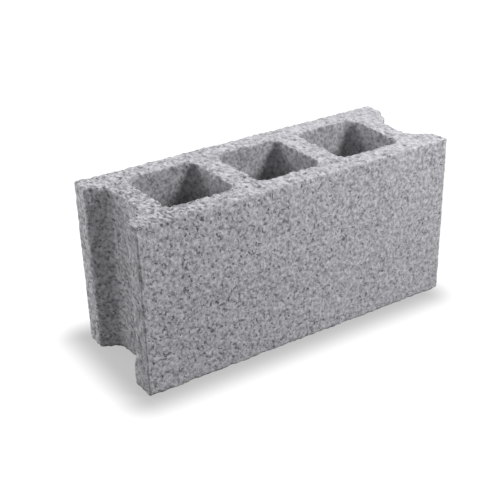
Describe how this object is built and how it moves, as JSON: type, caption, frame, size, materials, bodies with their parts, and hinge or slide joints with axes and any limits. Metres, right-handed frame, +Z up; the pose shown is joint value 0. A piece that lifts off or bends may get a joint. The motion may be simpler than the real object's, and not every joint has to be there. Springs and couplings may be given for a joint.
{
  "type": "hollow concrete block",
  "caption": "Hollow concrete masonry block with a row of rounded open cores through it and a mortar groove down each end, laid in mortar to build walls.",
  "frame": {"origin": "middle of the lower bed face, on which the block stands", "axes": "+X along the block through the row of cores, +Y across its thickness, +Z up through the cores"},
  "size_m": [0.39, 0.14, 0.19],
  "materials": {
    "concrete": "open-textured grey cast concrete, matt, with dark pits between the grains of aggregate and worn arrises"
  },
  "bodies": {
    "root": {"concrete_block": "concrete"}
  },
  "joints": []
}
